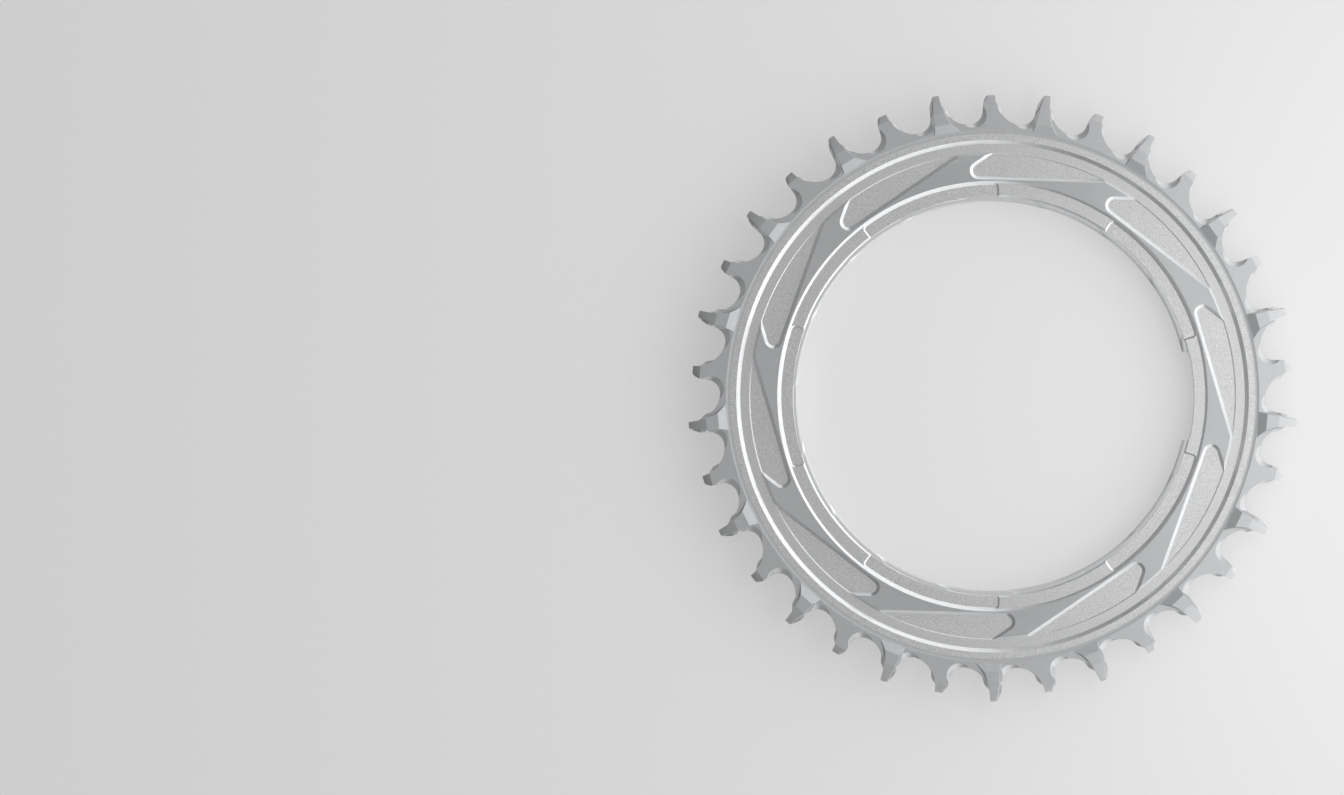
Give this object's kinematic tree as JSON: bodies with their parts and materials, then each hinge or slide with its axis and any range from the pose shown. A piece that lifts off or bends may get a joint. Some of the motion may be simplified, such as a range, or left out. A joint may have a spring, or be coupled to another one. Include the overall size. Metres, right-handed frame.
{
  "type": "bicycle chainring",
  "caption": "Flat toothed ring that carries a bicycle chain: wide and narrow teeth in turn around a stepped web with blade-shaped recesses, and a large threaded bore with a notch.",
  "frame": {"origin": "on the axis of the bore, at the plane of the rear seat face", "axes": "+Z along the axis towards the relief face, so the ring lies flat on its rear seat face; +X through the middle of the locating notch"},
  "size_m": [0.1447, 0.1442, 0.0081],
  "materials": {
    "ring": "silver, bead-blasted all over with finely turned raised lands and smooth machined teeth"
  },
  "bodies": {
    "root": {"chainring": "ring"}
  },
  "joints": []
}
